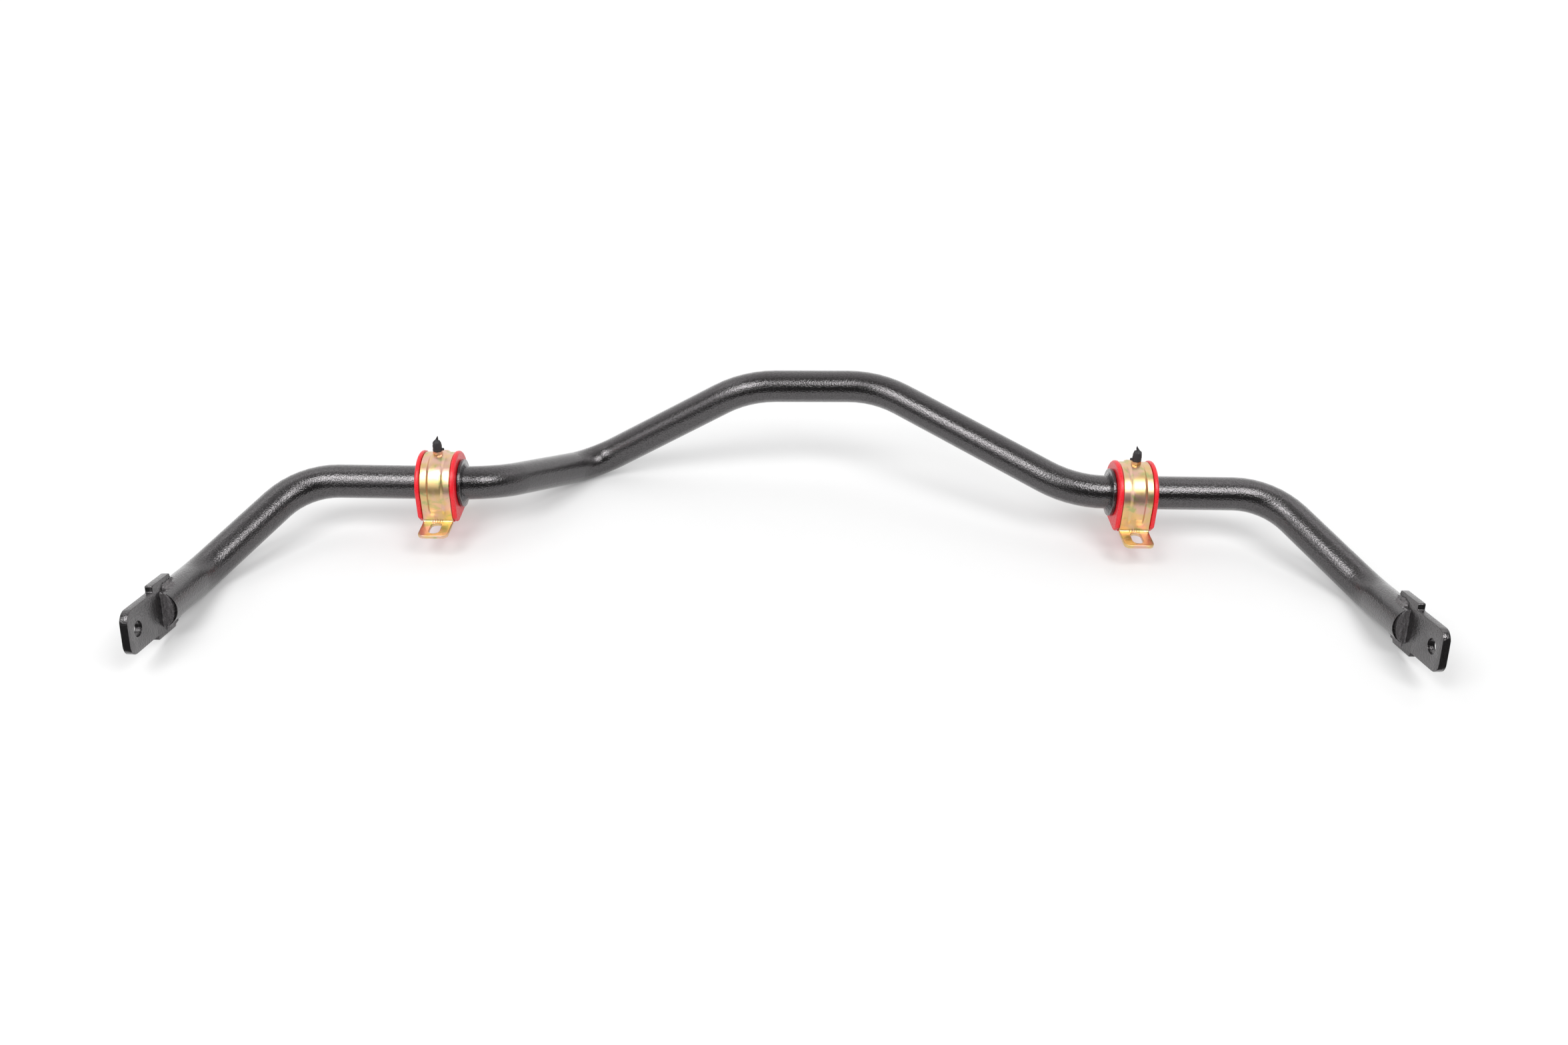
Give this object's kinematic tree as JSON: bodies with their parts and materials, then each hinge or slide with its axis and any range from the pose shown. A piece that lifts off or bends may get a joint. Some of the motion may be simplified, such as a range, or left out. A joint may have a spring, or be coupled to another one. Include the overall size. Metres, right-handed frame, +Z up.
{
  "type": "sway bar",
  "caption": "Bent tubular vehicle anti-roll bar with flat drilled end plates, locating rings, and greasable split bushes held in slotted strap brackets.",
  "frame": {"origin": "on the surface the bar lies on, under the middle of the whole assembly", "axes": "+X to the right end along the straight stretches that turn in the bushes, +Y from the link ends towards the back, +Z up"},
  "size_m": [1.0818, 0.3845, 0.1249],
  "materials": {
    "hammertone_black": "pebbled hammertone paint, semi-gloss, dark charcoal",
    "red_polyurethane": "moulded polyurethane, soft gloss",
    "yellow_zinc": "yellow zinc plate, iridescent, satin",
    "black_rubber": "matte moulded rubber",
    "bright_steel": "bright steel"
  },
  "bodies": {
    "bar": {"bar_tube": "hammertone_black", "end_plate_left": "hammertone_black", "plate_weld_left": "hammertone_black", "end_weld_left": "hammertone_black", "locating_ring_left": "hammertone_black", "ring_weld_left": "hammertone_black", "end_plate_right": "hammertone_black", "plate_weld_right": "hammertone_black", "end_weld_right": "hammertone_black", "locating_ring_right": "hammertone_black", "ring_weld_right": "hammertone_black"},
    "bush_set_left": {"bushing_left": "red_polyurethane", "bracket_left": "yellow_zinc", "grease_nipple_left": "yellow_zinc", "nipple_spring_left": "bright_steel"},
    "dust_cap_left": {"dust_cap_left": "black_rubber"},
    "check_ball_left": {"check_ball_left": "bright_steel"},
    "bush_set_right": {"bushing_right": "red_polyurethane", "bracket_right": "yellow_zinc", "grease_nipple_right": "yellow_zinc", "nipple_spring_right": "bright_steel"},
    "dust_cap_right": {"dust_cap_right": "black_rubber"},
    "check_ball_right": {"check_ball_right": "bright_steel"}
  },
  "joints": [
    {"name": "bush_left_turn", "type": "hinge", "parent": "bar", "child": "bush_set_left", "pos_m": [-0.3275, 0.05052, 0.05478], "axis": [1, 0, 0], "range_deg": [-25, 25]},
    {"name": "dust_cap_left_pull", "type": "slide", "parent": "bush_set_left", "child": "dust_cap_left", "axis": [0, 0, 1], "range_m": [0, 0.012]},
    {"name": "check_ball_left_press", "type": "slide", "parent": "bush_set_left", "child": "check_ball_left", "axis": [0, 0, -1], "range_m": [0, 0.0009], "stiffness_N_per_m": 300, "springref_m": -0.001, "deforming": ["nipple_spring_left"]},
    {"name": "bush_right_turn", "type": "hinge", "parent": "bar", "child": "bush_set_right", "pos_m": [0.3275, 0.05052, 0.05478], "axis": [1, 0, 0], "range_deg": [-25, 25]},
    {"name": "dust_cap_right_pull", "type": "slide", "parent": "bush_set_right", "child": "dust_cap_right", "axis": [0, 0, 1], "range_m": [0, 0.012]},
    {"name": "check_ball_right_press", "type": "slide", "parent": "bush_set_right", "child": "check_ball_right", "axis": [0, 0, -1], "range_m": [0, 0.0009], "stiffness_N_per_m": 300, "springref_m": -0.001, "deforming": ["nipple_spring_right"]}
  ],
  "couplings": [
    {"joint": "bush_right_turn", "follows": "bush_left_turn", "ratio": 1}
  ]
}
